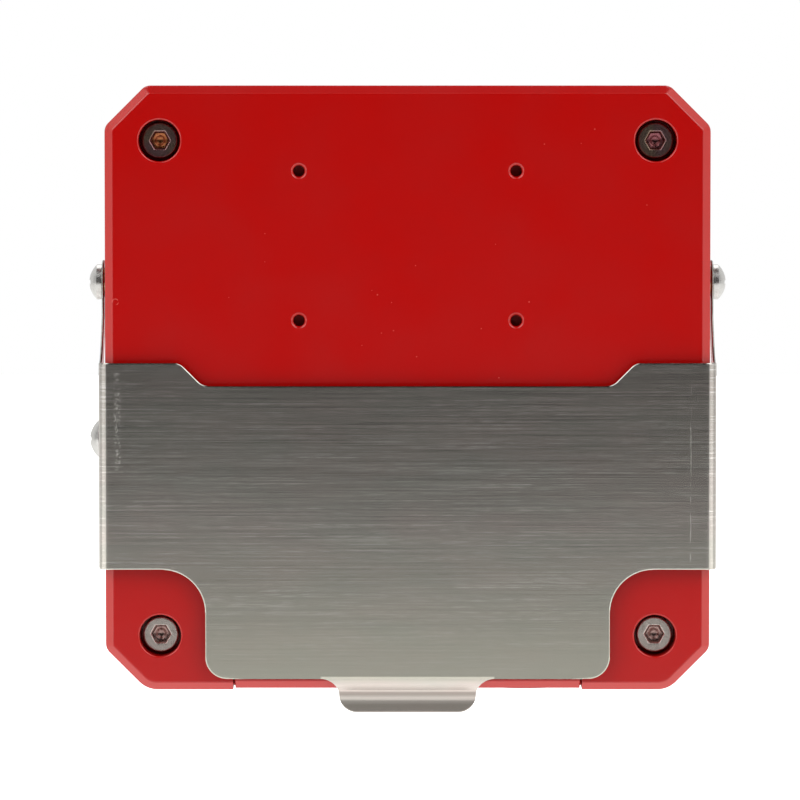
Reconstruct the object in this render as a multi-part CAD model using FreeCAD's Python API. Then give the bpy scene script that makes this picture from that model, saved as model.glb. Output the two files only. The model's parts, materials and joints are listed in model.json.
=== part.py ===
import FreeCAD
import Part
import math
import os

# Break glass call point, in millimetres. X runs to the right as seen from the front,
# Y runs into the wall and Z up. The origin is the middle of the back face, so the
# front of the call point has negative Y.

# Enclosure
body_width = 120.0
body_height = 120.0
corner_leg = 8.15
corner_round = 2.4
low_corner_round = 5.0
base_depth = 46.0
cover_depth = 26.0
wall = 6.0
back_wall = 5.0
front_wall = 6.0
cavity_corner_radius = 3.0
front_bevel = 1.6
bevel_edge_radius = 0.5
parting_bevel = 0.5

# Solid corner blocks of both halves, outside the cross-shaped cavity
corner_block_width = 19.0
corner_block_height = 32.0

# Gasket in the rim of the back box
groove_lip = 1.5
groove_width = 2.5
groove_depth = 2.2
gasket_side_clearance = 0.1

# Cover screws, M4 socket cap, in brass inserts
cover_screw_from_edge = 10.9
cover_screw_thread = 4.0
cover_screw_length = 25.0
cap_head_diameter = 7.0
cap_head_height = 4.0
hex_key_size = 3.0
hex_socket_depth = 2.2
hex_mouth_bevel = 0.4
hex_point_radius = 1.35
hex_point_depth = 0.7
cap_head_bevel = 0.2
counterbore_diameter = 8.25
counterbore_depth = 7.0
cover_insert_diameter = 5.6
cover_insert_length = 8.0
screw_hole_clearance = 0.25
thread_clearance = 0.05
insert_relief = 0.4
drill_point_allowance = 1.2
boss_root = 0.5
insert_band_share = 0.4
pan_crown_share = 0.62
recess_reach_share = 0.55
recess_depth_share = 0.55
recess_slot_share = 0.42
recess_taper_share = 0.35

# How far a cutting solid runs past the face that it cuts
overshoot = 1.0
edge_tolerance = 0.01
hole_mouth_bevel = 0.25

# Wall fixing holes, for M5 pan-head screws
wall_hole_from_side = 9.5
wall_hole_from_top = 22.0
wall_hole_diameter = 6.2
wall_pocket_diameter = 10.6
wall_web = 6.0

# Four small holes for a label plate on the front
label_hole_spacing_x = 43.0
label_hole_spacing_z = 29.6
label_hole_height = 28.3
label_hole_diameter = 2.25
label_hole_depth = 4.0
label_hole_mouth = 3.1

# M20 cable entries in the bottom wall
entry_spacing = 48.0
entry_depth_from_wall = 24.0
entry_bore_radius = 9.25
entry_boss_radius = 13.0
entry_thread_length = 11.0
plug_head_height = 2.6
plug_head_radius = 11.5
plug_thread_clearance = 0.1
plug_seal_thickness = 1.0
plug_bore_radius = 6.0
plug_bore_depth = 9.0
plug_key_size = 10.0
plug_key_depth = 5.4
plug_rim_radius = 1.2
plug_seal_setback = 0.5

# Glass frame, in a recess of the cover that is open at the bottom
frame_width = 68.5
frame_top = -6.0
frame_side_clearance = 0.4
frame_bottom_setback = 0.3
frame_recess_depth = 10.0
frame_floor = 4.0
window_from_side = 11.25
window_from_top = 7.0
window_from_bottom = 13.0
window_corner_radius = 3.0
window_mouth_bevel = 1.0
frame_lip = 5.2
glass_thickness = 1.2
glass_overlap = 3.0
glass_clearance = 0.25
cushion_width = 3.5
frame_screw_from_side = 5.25
frame_screw_from_top = 6.5
frame_screw_from_bottom = 10.0
frame_screw_thread = 3.0
frame_screw_head = 5.6
frame_screw_length = 14.0
frame_insert_diameter = 4.2
frame_insert_length = 5.5
frame_boss_radius = 4.0
frame_boss_height = 3.0

# Lift flap, folded from stainless sheet
sheet = 0.5
flap_gap = 1.8
flap_side_clearance = 0.7
side_bend_radius = 2.2
flap_mid_top = 0.65
wing_top = 5.2
wing_step_inset = 21.8
wing_step_radius = 2.8
wing_above_screw = 13.3
flap_scoop_radius = 8.6
flap_beside_screw = 9.0
flap_bottom_setback = 2.5
flap_corner_radius = 4.3
flange_bottom_depth = 10.5
flange_inner_radius = 3.0
flange_outer_radius = 4.0
flange_taper_from = -8.0
arm_eye_radius = 4.4
arm_half_width = 3.2
arm_splay = 0.4
arm_straight_from = 14.0
lip_flare_half_width = 17.2
lip_half_width = 13.6
lip_bend_above_edge = 0.5
lip_bend_radius = 2.2
lip_bend_angle = 50.0
lip_run = 1.8
lip_return_radius = 3.0
lip_reach_below = 4.5
lip_corner_radius = 3.5

# Flap pivots in the side walls of the cover
pivot_height = 20.9
pivot_behind_face = 8.0
pivot_thread = 3.5
pan_head_diameter = 7.0
pan_head_height = 2.5
pivot_screw_length = 8.0
pivot_insert_diameter = 5.0
pivot_insert_length = 7.0
pivot_boss_radius = 4.6
pivot_boss_height = 3.0
bush_radius = 2.6
bush_running_clearance = 0.05
pivot_washer_radius = 3.1
arm_end_play = 0.1

# Earth screw on the left side of the back box
earth_height = -12.0
earth_from_parting = 8.0
earth_thread = 4.0
earth_head_diameter = 7.8
earth_head_height = 3.0
earth_screw_length = 9.0
earth_washer_radius = 4.5
earth_washer_thickness = 0.8
spring_washer_radius = 3.7
spring_washer_thickness = 1.0
spring_washer_slot = 0.8
earth_insert_diameter = 5.6
earth_insert_length = 8.0
earth_boss_radius = 5.0
earth_boss_height = 3.5

# Plunger behind the glass, in its guide
plunger_rod_radius = 3.0
plunger_tail_radius = 2.0
plunger_collar_radius = 5.0
plunger_collar_thickness = 1.5
plunger_running_clearance = 0.06
plunger_glass_gap = 0.3
plunger_front_wall = 4.5
plunger_nose_radius = 1.0
plunger_release_travel = 4.5
guide_spigot_radius = 6.5
guide_flange_radius = 9.5
guide_flange_thickness = 2.5
guide_barrel_radius = 6.8
guide_barrel_length = 15.5
spring_bore_radius = 5.4
spring_wire = 0.7
spring_mean_radius = 3.8
spring_turns = 6.0
spring_wire_sides = 8
clip_radius = 3.6
clip_thickness = 0.8
clip_from_bracket = 5.4
clip_groove_depth = 0.4
clip_mouth_width = 3.2
plunger_tail_beyond_clip = 2.0

# Switch bracket, switch and lever
bracket_sheet = 1.2
bracket_bend_radius = 1.5
bracket_left = -20.0
bracket_right = 27.0
bracket_above_plunger = 9.5
bracket_leg_depth = 25.0
bracket_plunger_clearance = 0.3
bracket_leg_left = 2.0
post_spacing = 30.0
post_above_plunger = 4.0
post_radius = 3.4
bracket_screw_thread = 2.5
bracket_screw_head = 4.5
bracket_screw_head_height = 1.7
bracket_screw_length = 8.0
switch_length = 20.0
switch_height = 10.0
switch_thickness = 6.4
switch_left = 4.5
switch_from_plunger_tail = 5.0
switch_screw_spacing = 9.5
switch_screw_thread = 2.2
switch_screw_head = 4.0
switch_screw_head_height = 1.4
switch_button_radius = 1.2
switch_button_height = 2.2
switch_button_inset = 5.0
switch_tab_width = 3.2
switch_tab_thickness = 0.6
switch_tab_length = 4.0
lever_pin_radius = 0.8
lever_pin_inset = 2.5
lever_pin_rise = 1.7
lever_sheet = 0.4
lever_width = 4.0
lever_overhang = 2.5
lever_gap = 0.45
lever_running_clearance = 0.05
lever_eye_wall = 0.5
lug_thickness = 0.9
lug_gap = 0.15
lug_half_width = 1.6
lug_above_pin = 1.4
switch_hole_from_bottom = 3.0

# Terminal block on the back wall
terminal_ways = 4
terminal_pitch = 9.0
terminal_block_height = 14.0
terminal_block_depth = 11.0
terminal_centre_height = 22.0
terminal_standoff = 5.0
terminal_pillar_radius = 3.6
terminal_end = 6.4
terminal_step_wall = 0.3
terminal_step_depth = 4.0
terminal_groove_depth = 3.0
terminal_groove_width = 1.0
terminal_bore_radius = 2.0
terminal_bore_setback = 1.0
terminal_screw_radius = 1.9
terminal_screw_length = 4.5
terminal_slot_width = 0.7
terminal_slot_depth = 0.8
terminal_fixing_thread = 3.0
terminal_fixing_head = 5.4
terminal_fixing_head_height = 1.9
terminal_fixing_bite = 1.0
terminal_screw_sink = 1.0

# Leads from the switch to the terminal block
lead_radius = 0.9
lead_sides = 8
lead_turn_radius = 3.0
lead_exit = 6.0
lead_drop = 14.0
lead_reach_in = 3.0

# Places that follow from the sizes above
base_face = -base_depth
front_face = -(base_depth + cover_depth)
half_width = body_width / 2
half_height = body_height / 2
cavity_x = half_width - wall
cavity_z = half_height - wall
corner_block_inset_x = half_width - corner_block_width
corner_block_inset_z = half_height - corner_block_height
cover_screw_spacing_x = body_width - 2 * cover_screw_from_edge
cover_screw_spacing_z = body_height - 2 * cover_screw_from_edge
wall_hole_spacing_x = body_width - 2 * wall_hole_from_side
wall_hole_spacing_z = body_height - 2 * wall_hole_from_top
window_width = frame_width - 2 * window_from_side
window_top = frame_top - window_from_top
window_bottom = window_from_bottom - half_height
window_height = window_top - window_bottom
window_centre = (window_top + window_bottom) / 2
bracket_top = window_centre + bracket_above_plunger
post_height = window_centre + post_above_plunger
frame_screw_spacing_x = frame_width - 2 * frame_screw_from_side
frame_screw_top = frame_top - frame_screw_from_top
frame_screw_bottom = frame_screw_from_bottom - half_height
frame_screw_spacing_z = frame_screw_top - frame_screw_bottom
frame_screw_centre = (frame_screw_top + frame_screw_bottom) / 2
recess_floor = front_face + frame_recess_depth
floor_back = recess_floor + frame_floor
glass_front = front_face + frame_lip
glass_back = glass_front + glass_thickness
cap_seat = front_face + counterbore_depth
pivot_y = front_face + pivot_behind_face
flap_front = front_face - flap_gap - sheet
flap_inner = half_width + flap_side_clearance
flap_half_width = flap_inner + sheet
wing_step_start = flap_half_width - wing_step_inset
wing_bottom = wing_above_screw - cover_screw_spacing_z / 2
flap_narrow_half_width = cover_screw_spacing_x / 2 - flap_beside_screw
flap_bottom = flap_bottom_setback - half_height
lip_bottom = -half_height - lip_reach_below
lip_bend_top = flap_bottom + lip_bend_above_edge
pivot_washer_thickness = flap_side_clearance - arm_splay - arm_end_play
flange_back = pivot_y + arm_half_width
flap_depth = pivot_y + arm_eye_radius - flap_front
bracket_front = floor_back + guide_barrel_length + guide_flange_thickness
bracket_back = bracket_front + bracket_sheet
plunger_tip = glass_back + plunger_glass_gap
guide_step = recess_floor + plunger_front_wall
collar_front = guide_step + plunger_release_travel
collar_back = collar_front + plunger_collar_thickness
clip_front = bracket_back + clip_from_bracket
plunger_end = clip_front + clip_thickness + plunger_tail_beyond_clip
switch_top = plunger_end + switch_from_plunger_tail
switch_bottom = switch_top + switch_height
switch_low = window_centre - switch_thickness / 2
switch_high = window_centre + switch_thickness / 2
lever_pin_x = switch_left + switch_length - lever_pin_inset
lever_pin_y = switch_top - lever_pin_rise
earth_from_wall = base_depth - earth_from_parting
earth_seat = -half_width - earth_washer_thickness - spring_washer_thickness
pivot_head_seat = half_width + pivot_washer_thickness + sheet + 2 * arm_end_play

to_wall = FreeCAD.Vector(0, 1, 0)
to_front = FreeCAD.Vector(0, -1, 0)
to_right = FreeCAD.Vector(1, 0, 0)
to_left = FreeCAD.Vector(-1, 0, 0)
upward = FreeCAD.Vector(0, 0, 1)
downward = FreeCAD.Vector(0, 0, -1)


def at(x, y, z):
    return FreeCAD.Vector(x, y, z)


def block(x0, x1, y0, y1, z0, z1):
    return Part.makeBox(x1 - x0, y1 - y0, z1 - z0, at(x0, y0, z0))


def rod(radius, length, start, direction):
    return Part.makeCylinder(radius, length, start, direction)


def tube(outer, inner, length, start, direction):
    return rod(outer, length, start, direction).cut(rod(inner, length, start, direction))


def cone(radius_a, radius_b, length, start, direction):
    return Part.makeCone(radius_a, radius_b, length, start, direction)


def join(shapes):
    return shapes[0].fuse(shapes[1:]).removeSplitter()


def four_places(spacing_x, spacing_z, centre_z=0.0):
    return [(sx * spacing_x / 2, centre_z + sz * spacing_z / 2) for sz in (1, -1) for sx in (-1, 1)]


def mirrored(shape):
    return shape.mirror(at(0, 0, 0), to_right)


def chain(points, bulges):
    """A closed outline: straight from point to point, or an arc through the bulge point given."""
    edges = []
    for index, start in enumerate(points):
        end = points[(index + 1) % len(points)]
        if (end - start).Length < 1e-6:
            continue
        if index in bulges:
            edges.append(Part.Arc(start, bulges[index], end).toShape())
        else:
            edges.append(Part.LineSegment(start, end).toShape())
    return Part.Wire(edges)


def prism(wire, travel):
    return Part.Face(wire).extrude(travel)


def housing_prism(y_from, y_to):
    """The outline of both halves: a square with its corners cut off and all points rounded."""
    inner_x = half_width - corner_leg
    inner_z = half_height - corner_leg
    corners = [
        at(inner_x, y_from, half_height), at(half_width, y_from, inner_z),
        at(half_width, y_from, -inner_z), at(inner_x, y_from, -half_height),
        at(-inner_x, y_from, -half_height), at(-half_width, y_from, -inner_z),
        at(-half_width, y_from, inner_z), at(-inner_x, y_from, half_height),
    ]
    housing = prism(chain(corners, {}), at(0, y_to - y_from, 0))
    low = edges_along(housing, to_wall, lambda place: place.z < edge_tolerance - half_height)
    housing = housing.makeFillet(low_corner_round, low)
    others = edges_along(housing, to_wall, lambda place: place.z > -inner_z - edge_tolerance)
    return housing.makeFillet(corner_round, others)


def edges_at_depth(shape, depth):
    return [e for e in shape.Edges if all(abs(v.Point.y - depth) < 1e-4 for v in e.Vertexes)]


def edges_along(shape, direction, keep):
    found = []
    for edge in shape.Edges:
        if edge.Curve.TypeId != "Part::GeomLine" or not keep(edge.CenterOfMass):
            continue
        if abs(abs(edge.tangentAt(edge.FirstParameter).dot(direction)) - 1) < 1e-6:
            found.append(edge)
    return found


def cross_prism(offset, y_from, y_to, radius):
    """The cross-shaped cavity outline, grown by offset, between two depths."""
    tall = block(-corner_block_inset_x - offset, corner_block_inset_x + offset,
                 min(y_from, y_to), max(y_from, y_to), -cavity_z - offset, cavity_z + offset)
    wide = block(-cavity_x - offset, cavity_x + offset,
                 min(y_from, y_to), max(y_from, y_to), -corner_block_inset_z - offset,
                 corner_block_inset_z + offset)
    cross = join([tall, wide])
    return cross.makeFillet(radius, edges_along(cross, to_wall, lambda place: True))


def regular_outline(sides, corner_radius):
    turns = [2 * math.pi * index / sides for index in range(sides)]
    points = [at(corner_radius * math.cos(turn), corner_radius * math.sin(turn), 0) for turn in turns]
    return chain(points, {})


def hex_prism(key_size, length, start, direction):
    hexagon = prism(regular_outline(6, key_size / math.sqrt(3)), at(0, 0, length))
    hexagon.Placement = FreeCAD.Placement(start, FreeCAD.Rotation(upward, direction))
    return hexagon


def insert(diameter, length, bore, mouth, direction):
    """A brass insert with a waist between its two knurled bands. The mouth is its outer end."""
    body = tube(diameter / 2, bore, length, mouth, direction)
    waist_start = mouth + direction * (length * insert_band_share)
    waist_length = length * (1 - 2 * insert_band_share)
    waist = tube(diameter, diameter / 2 - insert_relief, waist_length, waist_start, direction)
    return body.cut(waist)


def pan_screw(diameter, height, thread, length, seat, direction):
    """A pan-head screw with a cross recess. Direction is the way that it is driven."""
    crown = height * pan_crown_share
    radius = diameter / 2
    dome_radius = (radius ** 2 + crown ** 2) / (2 * crown)
    rim = rod(radius, height - crown, seat - direction * (height - crown), direction)
    ball = Part.makeSphere(dome_radius, seat - direction * (height - dome_radius))
    head = rod(radius, height, seat - direction * height, direction).common(ball).fuse(rim)
    recess = cross_recess(radius * recess_reach_share, height * recess_depth_share,
                          seat - direction * height, direction)
    shank = rod(thread / 2 - thread_clearance, length, seat, direction)
    return head.removeSplitter().cut(recess).fuse(shank)


def cross_recess(reach, depth, top, direction):
    thickness = reach * recess_slot_share
    bar = block(-reach, reach, -thickness / 2, thickness / 2, 0, depth)
    other = block(-thickness / 2, thickness / 2, -reach, reach, 0, depth)
    cross = bar.fuse(other)
    taper = cone(reach, reach * recess_taper_share, depth, at(0, 0, 0), upward)
    cross = cross.common(taper)
    cross.Placement = FreeCAD.Placement(top, FreeCAD.Rotation(upward, direction))
    return cross


def make_back_box():
    shell = housing_prism(0, base_face)
    shell = shell.makeChamfer(parting_bevel, edges_at_depth(shell, base_face))
    shell = shell.cut(cross_prism(0, -back_wall, base_face, cavity_corner_radius))
    adds = []
    for side in (-1, 1):
        start = at(side * entry_spacing / 2, -entry_depth_from_wall, -half_height)
        adds.append(rod(entry_boss_radius, entry_thread_length, start, upward))
    pillar_top = -back_wall - terminal_standoff
    for x in terminal_fixing_places():
        adds.append(rod(terminal_pillar_radius, terminal_standoff + boss_root,
                        at(x, pillar_top, terminal_centre_height), to_wall))
    adds.append(rod(earth_boss_radius, earth_boss_height + boss_root,
                    at(-cavity_x - boss_root, -earth_from_wall, earth_height), to_right))
    shell = join([shell] + adds)
    cuts = []
    for side in (-1, 1):
        start = at(side * entry_spacing / 2, -entry_depth_from_wall, -half_height)
        cuts.append(rod(entry_bore_radius, entry_thread_length, start, upward))
    groove = cross_prism(groove_lip + groove_width, base_face, base_face + groove_depth,
                         cavity_corner_radius + groove_lip)
    inner = cross_prism(groove_lip, base_face, base_face + groove_depth, cavity_corner_radius)
    cuts.append(groove.cut(inner))
    for x, z in four_places(cover_screw_spacing_x, cover_screw_spacing_z):
        mouth = at(x, base_face, z)
        cuts.append(rod(cover_insert_diameter / 2, cover_insert_length, mouth, to_wall))
        drill = cover_screw_thread / 2 + screw_hole_clearance
        cuts.append(rod(drill, cover_insert_length + drill_point_allowance, mouth, to_wall))
    for x, z in four_places(wall_hole_spacing_x, wall_hole_spacing_z):
        cuts.append(rod(wall_hole_diameter / 2, base_depth, at(x, base_face, z), to_wall))
        cuts.append(rod(wall_pocket_diameter / 2, base_depth - wall_web, at(x, base_face, z), to_wall))
    for x in terminal_fixing_places():
        hole = terminal_fixing_thread / 2
        depth = terminal_standoff + terminal_fixing_bite + drill_point_allowance
        cuts.append(rod(hole, depth, at(x, pillar_top, terminal_centre_height), to_wall))
    earth_mouth = at(-half_width, -earth_from_wall, earth_height)
    cuts.append(rod(earth_insert_diameter / 2, earth_insert_length, earth_mouth, to_right))
    return shell.cut(cuts)


def terminal_fixing_places():
    reach = terminal_ways * terminal_pitch / 2 + terminal_end / 2
    return (-reach, reach)


def make_cover_shell():
    shell = housing_prism(base_face, front_face)
    shell = shell.makeChamfer(front_bevel, edges_at_depth(shell, front_face))
    soften = edges_at_depth(shell, front_face) + edges_at_depth(shell, front_face + front_bevel)
    shell = shell.makeFillet(bevel_edge_radius, soften)
    shell = shell.makeChamfer(parting_bevel, edges_at_depth(shell, base_face))
    hollow = cross_prism(0, base_face, front_face + front_wall, cavity_corner_radius)
    housing_half = frame_width / 2 + frame_floor
    housing = block(-housing_half, housing_half, front_face, floor_back, -half_height,
                    frame_top + frame_floor)
    return shell.cut(hollow.cut(housing))


def frame_recess():
    half = frame_width / 2 + frame_side_clearance
    recess = block(-half, half, front_face, recess_floor, -half_height - overshoot,
                   frame_top + frame_side_clearance)
    corners = edges_along(recess, to_wall, lambda place: place.z > window_centre)
    return recess.makeFillet(window_corner_radius, corners)


def post_places():
    return (-post_spacing / 2, post_spacing / 2)


def make_front_cover():
    adds = []
    for side in (-1, 1):
        start = at(side * (cavity_x + boss_root), pivot_y, pivot_height)
        adds.append(rod(pivot_boss_radius, pivot_boss_height + boss_root, start, at(-side, 0, 0)))
    frame_places = four_places(frame_screw_spacing_x, frame_screw_spacing_z, frame_screw_centre)
    for x, z in frame_places:
        adds.append(rod(frame_boss_radius, frame_boss_height + boss_root,
                        at(x, floor_back - boss_root, z), to_wall))
    for x in post_places():
        adds.append(rod(post_radius, bracket_front - floor_back + boss_root,
                        at(x, floor_back - boss_root, post_height), to_wall))
    cover = join([make_cover_shell()] + adds)
    cuts = [frame_recess()]
    for x, z in four_places(cover_screw_spacing_x, cover_screw_spacing_z):
        mouth = at(x, front_face, z)
        bore = counterbore_diameter / 2
        cuts.append(rod(bore, counterbore_depth, mouth, to_wall))
        cuts.append(cone(bore + hole_mouth_bevel, bore, hole_mouth_bevel, mouth, to_wall))
        cuts.append(rod(cover_screw_thread / 2 + screw_hole_clearance, cover_depth, mouth, to_wall))
    for x, z in four_places(label_hole_spacing_x, label_hole_spacing_z, label_hole_height):
        mouth = at(x, front_face, z)
        bore = label_hole_diameter / 2
        cuts.append(rod(bore, label_hole_depth, mouth, to_wall))
        flare = label_hole_mouth / 2
        cuts.append(cone(flare, bore, flare - bore, mouth, to_wall))
    for side in (-1, 1):
        mouth = at(side * half_width, pivot_y, pivot_height)
        inward = at(-side, 0, 0)
        drilled = pivot_insert_length + drill_point_allowance
        cuts.append(rod(pivot_insert_diameter / 2, pivot_insert_length, mouth, inward))
        cuts.append(rod(pivot_thread / 2, drilled, mouth, inward))
    for x, z in frame_places:
        cuts.append(rod(frame_insert_diameter / 2, frame_insert_length, at(x, recess_floor, z), to_wall))
    for x in post_places():
        start = at(x, bracket_front, post_height)
        cuts.append(rod(bracket_screw_thread / 2, bracket_screw_length, start, to_front))
    spigot_hole = guide_spigot_radius + screw_hole_clearance / 2
    cuts.append(rod(spigot_hole, frame_floor, at(0, recess_floor, window_centre), to_wall))
    return cover.cut(cuts)


def make_cover_gasket():
    outer_offset = groove_lip + groove_width - gasket_side_clearance
    inner_offset = groove_lip + gasket_side_clearance
    outer = cross_prism(outer_offset, base_face, base_face + groove_depth,
                        cavity_corner_radius + groove_lip - gasket_side_clearance)
    inner = cross_prism(inner_offset, base_face, base_face + groove_depth,
                        cavity_corner_radius + gasket_side_clearance)
    return outer.cut(inner)


def make_base_inserts():
    bore = cover_screw_thread / 2
    return Part.makeCompound([
        insert(cover_insert_diameter, cover_insert_length, bore, at(x, base_face, z), to_wall)
        for x, z in four_places(cover_screw_spacing_x, cover_screw_spacing_z)])


def make_cap_screw(x, z):
    seat = at(x, cap_seat, z)
    top = at(x, cap_seat - cap_head_height, z)
    head = rod(cap_head_diameter / 2, cap_head_height, top, to_wall)
    head = head.makeChamfer(cap_head_bevel, edges_at_depth(head, top.y))
    socket = hex_prism(hex_key_size, hex_socket_depth, top, to_wall)
    floor = at(x, top.y + hex_socket_depth, z)
    head = head.cut([socket, cone(hex_point_radius, 0, hex_point_depth, floor, to_wall)])
    mouth = [e for e in edges_at_depth(head, top.y) if e.Curve.TypeId == "Part::GeomLine"]
    head = head.makeChamfer(hex_mouth_bevel, mouth)
    shank = rod(cover_screw_thread / 2 - thread_clearance, cover_screw_length, seat, to_wall)
    return head.fuse(shank)


def make_cover_screws():
    return Part.makeCompound([
        make_cap_screw(x, z) for x, z in four_places(cover_screw_spacing_x, cover_screw_spacing_z)])


def window_prism(grow, y_from, y_to, radius):
    opening = block(-window_width / 2 - grow, window_width / 2 + grow, y_from, y_to,
                    window_centre - window_height / 2 - grow, window_centre + window_height / 2 + grow)
    return opening.makeFillet(radius, edges_along(opening, to_wall, lambda place: True))


def make_glass_frame():
    bottom = -half_height + frame_bottom_setback
    frame = block(-frame_width / 2, frame_width / 2, front_face, recess_floor, bottom, frame_top)
    front_low = [e for e in edges_at_depth(frame, front_face) if e.CenterOfMass.z < bottom + edge_tolerance]
    frame = frame.makeChamfer(front_bevel, front_low)
    top_corners = edges_along(frame, to_wall, lambda place: place.z > window_centre)
    frame = frame.makeFillet(window_corner_radius, top_corners)
    glass_pocket = glass_overlap + glass_clearance
    window = window_prism(0, front_face, recess_floor, window_corner_radius)
    pocket = window_prism(glass_pocket, glass_front, recess_floor, window_corner_radius)
    frame = frame.cut([window, pocket])
    rim = [e for e in edges_at_depth(frame, front_face)
           if abs(e.CenterOfMass.x) < window_width / 2 + edge_tolerance
           and abs(e.CenterOfMass.z - window_centre) < window_height / 2 + edge_tolerance]
    frame = frame.makeChamfer(window_mouth_bevel, rim)
    cuts = []
    sink = frame_screw_head / 2
    for x, z in four_places(frame_screw_spacing_x, frame_screw_spacing_z, frame_screw_centre):
        mouth = at(x, front_face, z)
        bore = frame_screw_thread / 2 + screw_hole_clearance
        cuts.append(rod(bore, frame_recess_depth, mouth, to_wall))
        grown = sink + screw_hole_clearance
        cuts.append(cone(grown, bore, grown - bore, mouth, to_wall))
    return frame.cut(cuts)


def make_glass_pane():
    return window_prism(glass_overlap, glass_front, glass_back, window_corner_radius)


def make_glass_cushion():
    outer = window_prism(glass_overlap, glass_back, recess_floor, window_corner_radius)
    inner = window_prism(glass_overlap - cushion_width, glass_back, recess_floor, window_corner_radius)
    return outer.cut(inner)


def make_frame_screws():
    screws = []
    for x, z in four_places(frame_screw_spacing_x, frame_screw_spacing_z, frame_screw_centre):
        top = at(x, front_face + screw_hole_clearance, z)
        shank_radius = frame_screw_thread / 2 - thread_clearance
        sink = frame_screw_head / 2
        head = cone(sink, shank_radius, sink - shank_radius, top, to_wall)
        recess = cross_recess(sink * recess_reach_share, sink * recess_depth_share, top, to_wall)
        shank = rod(shank_radius, frame_screw_length, top, to_wall)
        screws.append(head.fuse(shank).removeSplitter().cut(recess))
    return Part.makeCompound(screws)


def make_frame_inserts():
    return Part.makeCompound([
        insert(frame_insert_diameter, frame_insert_length, frame_screw_thread / 2,
               at(x, recess_floor, z), to_wall)
        for x, z in four_places(frame_screw_spacing_x, frame_screw_spacing_z, frame_screw_centre)])


def flap_front_outline():
    """Right half of the flap seen from the front, closed along the middle."""
    sin45 = math.sqrt(0.5)
    step_rise = wing_top - flap_mid_top
    arc_rise = wing_step_radius * (1 - sin45)
    arc_run = wing_step_radius * sin45
    slope = step_rise - 2 * arc_rise
    step_end = wing_step_start + 2 * arc_run + slope
    half_turn_x = wing_step_radius * math.sin(math.pi / 8)
    half_turn_z = wing_step_radius * (1 - math.cos(math.pi / 8))
    scoop_x = flap_narrow_half_width + flap_scoop_radius
    scoop_mid = flap_scoop_radius * (1 - sin45)
    corner_mid = flap_corner_radius * (1 - sin45)
    points = [
        at(0, 0, flap_mid_top),
        at(wing_step_start, 0, flap_mid_top),
        at(wing_step_start + arc_run, 0, flap_mid_top + arc_rise),
        at(step_end - arc_run, 0, wing_top - arc_rise),
        at(step_end, 0, wing_top),
        at(flap_half_width, 0, wing_top),
        at(flap_half_width, 0, wing_bottom),
        at(scoop_x, 0, wing_bottom),
        at(flap_narrow_half_width, 0, wing_bottom - flap_scoop_radius),
        at(flap_narrow_half_width, 0, flap_bottom + flap_corner_radius),
        at(flap_narrow_half_width - flap_corner_radius, 0, flap_bottom),
        at(lip_flare_half_width, 0, flap_bottom),
        at(lip_flare_half_width, 0, lip_bend_top),
        at(0, 0, lip_bend_top),
    ]
    bulges = {
        1: at(wing_step_start + half_turn_x, 0, flap_mid_top + half_turn_z),
        3: at(step_end - half_turn_x, 0, wing_top - half_turn_z),
        7: at(flap_narrow_half_width + scoop_mid, 0, wing_bottom - scoop_mid),
        9: at(flap_narrow_half_width - corner_mid, 0, flap_bottom + corner_mid),
    }
    return chain(points, bulges)


def folded_channel():
    """The right half of the sheet's section seen from above: front plate, bend and side."""
    inner_radius = side_bend_radius - sheet
    sin45 = math.sqrt(0.5)
    outer_mid = side_bend_radius * (1 - sin45)
    inner_mid = inner_radius * (1 - sin45)
    points = [
        at(0, flap_front, 0),
        at(flap_half_width - side_bend_radius, flap_front, 0),
        at(flap_half_width, flap_front + side_bend_radius, 0),
        at(flap_half_width, flange_back, 0),
        at(flap_inner, flange_back, 0),
        at(flap_inner, flap_front + side_bend_radius, 0),
        at(flap_half_width - side_bend_radius, flap_front + sheet, 0),
        at(0, flap_front + sheet, 0),
    ]
    bulges = {
        1: at(flap_half_width - outer_mid, flap_front + outer_mid, 0),
        5: at(flap_inner - inner_mid, flap_front + sheet + inner_mid, 0),
    }
    section = prism(chain(points, bulges), at(0, 0, wing_top - flap_bottom))
    section.translate(at(0, 0, flap_bottom))
    return section


def side_outline():
    """The arm and side flange seen from the right, as a solid that trims them."""
    low_back = flap_front + flange_bottom_depth
    front = flap_front - overshoot
    plate_back = flap_front + side_bend_radius
    radius = flange_outer_radius
    corner_mid = radius * (1 - math.sqrt(0.5))
    width = flap_half_width + overshoot
    points = [
        at(0, front, wing_top),
        at(0, flange_back, wing_top),
        at(0, flange_back, flange_taper_from),
        at(0, low_back, wing_bottom + radius),
        at(0, low_back - radius, wing_bottom),
        at(0, plate_back, wing_bottom),
        at(0, plate_back, flap_bottom - overshoot),
        at(0, front, flap_bottom - overshoot),
    ]
    bulges = {3: at(0, low_back - corner_mid, wing_bottom + corner_mid)}
    flange = prism(chain(points, bulges), at(width, 0, 0))
    arm = block(0, width, pivot_y - arm_half_width, flange_back, wing_top, pivot_height)
    eye = rod(arm_eye_radius, width, at(0, pivot_y, pivot_height), to_right)
    side = join([flange, arm, eye])
    inner_corner = edges_along(side, to_right, lambda p: abs(p.z - wing_top) < edge_tolerance
                               and abs(p.y - pivot_y + arm_half_width) < edge_tolerance)
    return side.makeFillet(flange_inner_radius, inner_corner)


def arm_slab():
    """The side of the sheet above the wing, leaning in towards the pivot."""
    top = pivot_height + arm_eye_radius + overshoot
    points = [
        at(flap_inner, 0, wing_top), at(flap_half_width, 0, wing_top),
        at(flap_half_width - arm_splay, 0, arm_straight_from),
        at(flap_half_width - arm_splay, 0, top),
        at(flap_inner - arm_splay, 0, top),
        at(flap_inner - arm_splay, 0, arm_straight_from),
    ]
    slab = prism(chain(points, {}), at(0, flap_depth, 0))
    slab.translate(at(0, flap_front, 0))
    return slab


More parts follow.
